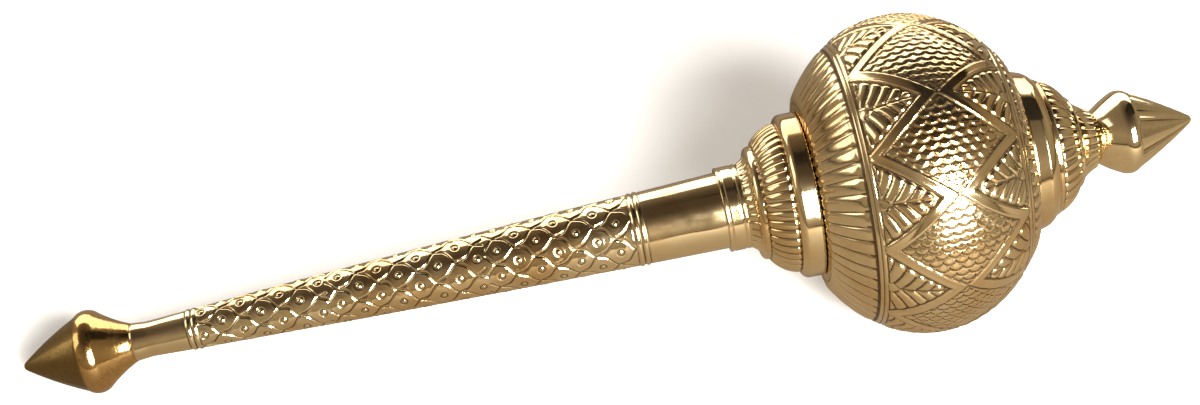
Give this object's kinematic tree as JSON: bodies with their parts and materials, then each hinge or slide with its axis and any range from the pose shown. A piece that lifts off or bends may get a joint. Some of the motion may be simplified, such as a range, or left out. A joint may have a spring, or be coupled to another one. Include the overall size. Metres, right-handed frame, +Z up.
{
  "type": "ceremonial mace",
  "caption": "Brass ceremonial mace with a large round chased head between two fluted cups, a tapered tube handle, a pointed finial and a matching pointed pommel, lying on its side.",
  "frame": {"origin": "on the ground, under the middle of the bounding box of the lying mace", "axes": "+X runs level along the mace from the pommel towards the finial, +Z up; the handle rises towards the head"},
  "size_m": [0.6042, 0.1664, 0.1639],
  "materials": {
    "polished_brass": "polished, with fine scratches and tarnish in the chasing",
    "cast_brass": "cast, half polished, rough and pitted on the cones"
  },
  "bodies": {
    "root": {"pommel": "cast_brass", "handle_tube": "polished_brass", "neck_collar": "polished_brass", "lower_cup": "polished_brass", "ball": "polished_brass", "upper_cup": "polished_brass", "finial": "cast_brass"}
  },
  "joints": []
}
